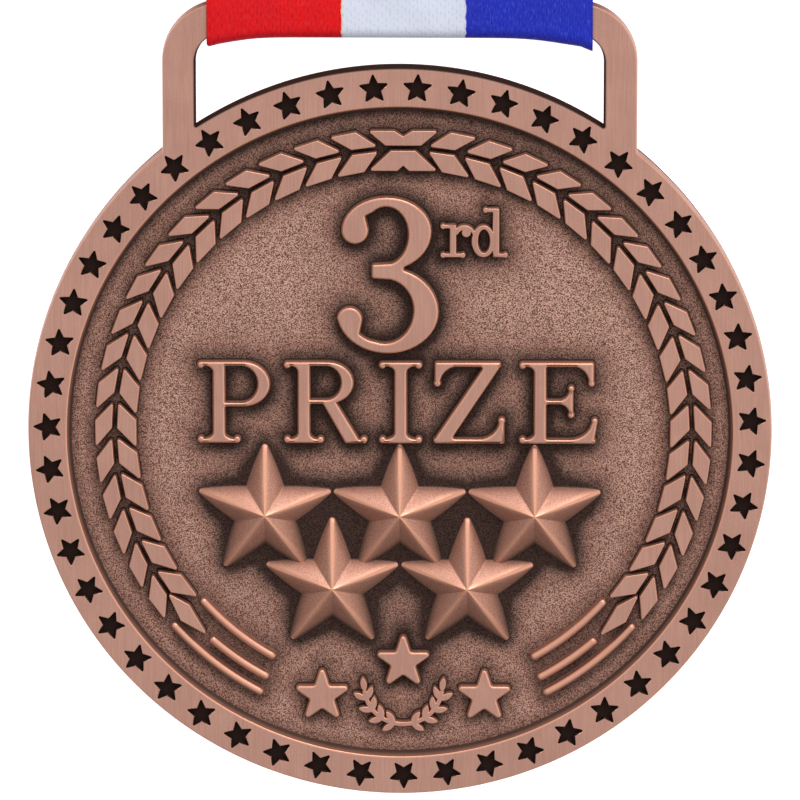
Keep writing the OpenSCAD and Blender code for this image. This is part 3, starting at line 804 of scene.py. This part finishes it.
loop = border_loop(quads)
low = field.add([(*field.points[0][i][:2], SKIRT_Z) for i in loop], patina=0.9, sand=1.0)
field.bridge(np.array(loop), low)
field.faces.append(tuple(low)[::-1])
field_obj = field.make("medal_field", "medal", copper)
for o in (rim_obj, disc_obj, relief_obj, stars_obj, stems_obj, field_obj):
    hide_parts("medal_casting")

# ---------------------------------------------------------------- ribbon
CLOTH = 0.42
BEND_STEP = 12                  # degrees between points on a bend
HALF = RIBBON_W / 2
SELVEDGE = 0.25


def columns():
    """Places across the ribbon, closer together where its edges are rounded."""
    inner = np.linspace(-HALF + SELVEDGE, HALF - SELVEDGE, 41)
    side = HALF - SELVEDGE * (1 - np.cos(np.radians([90, 62, 35])))
    return np.concatenate([-side, inner, side[::-1]])


COLUMNS = columns()


def smooth_path(corners, step=0.5):
    """A path through (y, z) corners given with their radii, sampled at about step mm."""
    points = [np.array(corners[0][:2], float)]
    for k in range(1, len(corners) - 1):
        p, r = np.array(corners[k][:2], float), corners[k][2]
        a, c = np.array(corners[k - 1][:2]), np.array(corners[k + 1][:2])
        u, v = (a - p) / np.hypot(*(a - p)), (c - p) / np.hypot(*(c - p))
        turn = math.pi - math.acos(max(-1, min(1, float(u @ v))))
        if turn < 1e-3:
            points.append(p)
            continue
        reach = r * math.tan(turn / 2)
        centre, first, sweep = corner_arc(p, u, v, r, reach, turn)
        n = max(2, int(math.ceil(abs(math.degrees(sweep)) / BEND_STEP)))
        points += arc_points(centre, r, first, sweep, n)
    points.append(np.array(corners[-1][:2], float))
    out = [points[0]]
    for a, b in zip(points, points[1:]):
        n = max(1, int(math.ceil(np.hypot(*(b - a)) / step)))
        out += [a + (b - a) * i / n for i in range(1, n + 1)]
    out = np.array(out)
    keep = np.r_[True, np.hypot(*np.diff(out, axis=0).T) > 1e-3]
    return out[keep]


def along(path):
    """Distance along a path at each of its points."""
    return np.r_[0, np.cumsum(np.hypot(*np.diff(path, axis=0).T))]


def strip(paths, weave_at, name, shape=None):
    """One woven strip for each path: a closed ribbon swept along it.

    weave_at holds, for each path, how far each of its points is from the medal along the ribbon,
    so the weave runs on from one piece to the next.
    """
    points, faces, uvs, length = [], [], [], 0.0
    for path, far in zip(paths, weave_at):
        s = along(path)
        length += s[-1]
        tangent = np.gradient(path, s, axis=0)
        tangent /= np.hypot(*tangent.T)[:, None]
        normal = np.stack([-tangent[:, 1], tangent[:, 0]], 1)
        half = np.full(len(COLUMNS), CLOTH / 2)
        out = (np.abs(COLUMNS) - (HALF - SELVEDGE)) / SELVEDGE
        half = half * np.sqrt(np.clip(1 - np.clip(out, 0, 1) ** 2, 0, 1))
        first = len(points)
        ring = []
        for side in (1, -1):
            order = range(len(COLUMNS)) if side > 0 else range(len(COLUMNS) - 2, 0, -1)
            ring += [(j, side) for j in order]
        m = len(ring)
        for i in range(len(path)):
            for j, side in ring:
                x = COLUMNS[j]
                y, z = path[i] + normal[i] * side * half[j]
                if shape:
                    y, z = shape(x, y, z)
                points.append((x, y, z))
                uvs.append((x, far[i]))
        for i in range(len(path) - 1):
            for k in range(m):
                a, b = first + i * m + k, first + i * m + (k + 1) % m
                faces.append((a, b, b + m, a + m))
        faces.append(tuple(range(first, first + m))[::-1])
        last = first + (len(path) - 1) * m
        faces.append(tuple(range(last, last + m)))
    return strip_object(name, points, faces, uvs), length * MM


def strip_object(name, points, faces, uvs):
    """A strip's object: its end caps are flat, with sharp rims, and the rest is smooth."""
    me = bpy.data.meshes.new(name)
    me.from_pydata((np.array(points) * MM).tolist(), [], faces)
    me.update()
    me.polygons.foreach_set("use_smooth", [len(p.vertices) == 4 for p in me.polygons])
    rims = {key for p in me.polygons if len(p.vertices) > 4 for key in p.edge_keys}
    for e in me.edges:
        e.use_edge_sharp = e.key in rims
    layer = me.uv_layers.new(name="weave")
    for corner in me.loops:
        layer.data[corner.index].uv = uvs[corner.vertex_index]
    me.materials.append(weave)
    obj = bpy.data.objects.new(name, me)
    bpy.context.scene.collection.objects.link(obj)
    return obj


BLUE_EDGE_SAG, RED_EDGE_SAG = (0.85, 4.6), (0.7, 3.6)     # how far it sags, and over what width
CORNER_LIFT, CORNER_FROM = 0.45, 18.4                     # the red corner is rounded off


def bar_inner(x):
    """Inner edge of the loop above x, with its rounded corners."""
    over = np.clip(abs(x) - CORNER_X, 0, SLOT_R)
    return CORNER_Y + math.sqrt(SLOT_R ** 2 - over ** 2)


def follow_bar(x, y, z):
    """Height and depth of the ribbon at x: its lower edge follows the bar's inner edge."""
    high = LOOP_TOP + 0.4
    if y < high:
        slack, reach = BLUE_EDGE_SAG if x > 0 else RED_EDGE_SAG
        drop = BAR_Y - bar_inner(x) + slack * math.exp(-((HALF - abs(x)) / reach) ** 2)
        if x < 0:
            drop -= CORNER_LIFT * (max(-x - CORNER_FROM, 0) / (HALF - CORNER_FROM)) ** 2
        y -= drop * min(1.0, (high - y) / (high - BAR_Y))
    return y, z


MID_1, MID_2 = 0.25, 0.75
BAR_FRONT, BAR_BACK = FACE_Z + 0.07 + CLOTH / 2, LOOP_Z - 0.07 - CLOTH / 2
BAR_LOW = BAR_Y - 0.06 - CLOTH / 2
LEAD_END = 59.0
lead_path = smooth_path([
    (LEAD_END, MID_2, 0), (SEAM_Y, MID_2, 12), (LOOP_TOP + 0.7, BAR_FRONT, 9),
    (BAR_LOW, BAR_FRONT, 0.95), (BAR_LOW, BAR_BACK, 0.95), (LOOP_TOP + 0.7, BAR_BACK, 9),
    (SEAM_Y, MID_1, 12), (LEAD_END, MID_1, 0)])
lead_s = along(lead_path)
lead, lead_len = strip([lead_path], [abs(lead_s - lead_s[-1] / 2)], "ribbon_over_bar",
                       shape=follow_bar)
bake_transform(lead)
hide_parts("ribbon_wrap", "ribbon_bend")

BODIES = ["strap"] + [f"panel_{i}" for i in range(2, PANELS + 1)]
FAR, MIDDLE = STACK_Y + PANEL_L, STACK_Y + PANEL_L / 2


def level(i):
    return (i - 1) * PITCH_Z


reached = [lead_s[-1] / 2] * 2
for i in range(1, PANELS):
    turn_y = FAR if i % 2 else STACK_Y
    out = 1 if i % 2 else -1
    centre_z = level(i) + PANEL_T + (PITCH_Z - PANEL_T) / 2
    begin = LEAD_END if i == 1 else MIDDLE
    paths, weave_at = [], []
    for layer, mid in enumerate((MID_1, MID_2)):
        r = centre_z - (level(i) + mid)
        arc = [(turn_y + out * r * math.cos(a), centre_z + r * math.sin(a))
               for a in np.radians(np.r_[np.linspace(-90, -9, 10), -4, -2, 0, 2, 4,
                                         np.linspace(9, 90, 10)])]
        n = max(2, int(abs(turn_y - begin) / 2))
        head = [(begin + (turn_y - begin) * k / n, centre_z - r) for k in range(n)]
        m = int(abs(turn_y - MIDDLE) / 2)
        tail = [(turn_y + (MIDDLE - turn_y) * (k + 1) / m, centre_z + r) for k in range(m)]
        paths.append(np.array(head + arc + tail))
        weave_at.append(reached[layer] + along(paths[-1]))
        reached[layer] = weave_at[-1][-1]
    reached.reverse()
    obj, length = strip(paths, weave_at, f"ribbon_pleat_{i}")
    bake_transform(obj)
    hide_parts(f"ribbon_panel_{i}", f"ribbon_fold_{i}", f"ribbon_panel_{i + 1}")

end_z = level(PANELS)
end_y = STACK_Y + 0.75
end_path = smooth_path([
    (MIDDLE, end_z + MID_1, 0), (end_y, end_z + MID_1, 0.24),
    (end_y, end_z + MID_2, 0.24), (MIDDLE, end_z + MID_2, 0)], step=2.0)
end_s = along(end_path)
end_piece, end_len = strip(
    [end_path], [np.minimum(reached[0] + end_s, reached[1] + end_s[-1] - end_s)],
    "ribbon_neck_end")
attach(end_piece, BODIES[-1])
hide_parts("ribbon_panel_6")

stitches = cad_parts["seam_stitching"]
stitches.data.materials.clear()
stitches.data.materials.append(thread)

# ---------------------------------------------------------------- floor, light
FLOOR_HALF, FLOOR_Z = 1.5, -0.0002      # metres
me = bpy.data.meshes.new("floor")
me.from_pydata([(x * FLOOR_HALF, y * FLOOR_HALF, 0) for x, y in ((-1, -1), (1, -1), (1, 1), (-1, 1))],
               [], [(0, 1, 2, 3)])
floor = bpy.data.objects.new("floor", me)
floor.location = (0, 0, FLOOR_Z)
bpy.context.scene.collection.objects.link(floor)
fm, ft = new_material("pale_floor")
paper = noise(ft, (0.4, 0.4, 0.4), detail=2.0)
pale = mix(ft, remap(ft, paper, 0.3, 0.7, 0, 1), (0.93, 0.93, 0.93, 1), (0.96, 0.96, 0.96, 1))
diffuse = node(ft, "ShaderNodeBsdfPrincipled", {
    "Base Color": pale, "Roughness": 0.8, "Emission Color": (1, 1, 1, 1),
    "Emission Strength": 0.7})
node(ft, "ShaderNodeOutputMaterial", {"Surface": diffuse.outputs[0]})
me.materials.append(fm)

world = bpy.data.worlds.new("studio")
bpy.context.scene.world = world
world.use_nodes = True
wt = world.node_tree
wt.nodes.clear()
direction = node(wt, "ShaderNodeTexCoord").outputs["Generated"]
brightest = Vector((0.42, 0.72, 0.55)).normalized()
lean = node(wt, "ShaderNodeVectorMath", {0: direction, 1: brightest}, operation="DOT_PRODUCT")
glow = remap(wt, lean.outputs["Value"], -0.7, 1.0, 0.26, 1.3)
sky = node(wt, "ShaderNodeBackground", {"Color": (1, 1, 1, 1), "Strength": glow})
node(wt, "ShaderNodeOutputWorld", {"Surface": sky.outputs[0]})


def softbox(name, place, target, size_x, size_y, power):
    """A rectangular light at place, turned to target. Sizes in metres, power in watts."""
    data = bpy.data.lights.new(name, "AREA")
    data.shape, data.size, data.size_y, data.energy = "RECTANGLE", size_x, size_y, power
    o = bpy.data.objects.new(name, data)
    bpy.context.scene.collection.objects.link(o)
    o.location = place
    o.rotation_mode = "QUATERNION"
    o.rotation_quaternion = (Vector(target) - Vector(place)).to_track_quat("-Z", "Y")


softbox("top_softbox", (0.25, 0.75, 0.55), (0, 0, 0), 0.5, 0.3, 2.0)
softbox("edge_strip", (0.15, 0.9, 0.4), (0, 0, 0), 0.9, 0.1, 0.7)
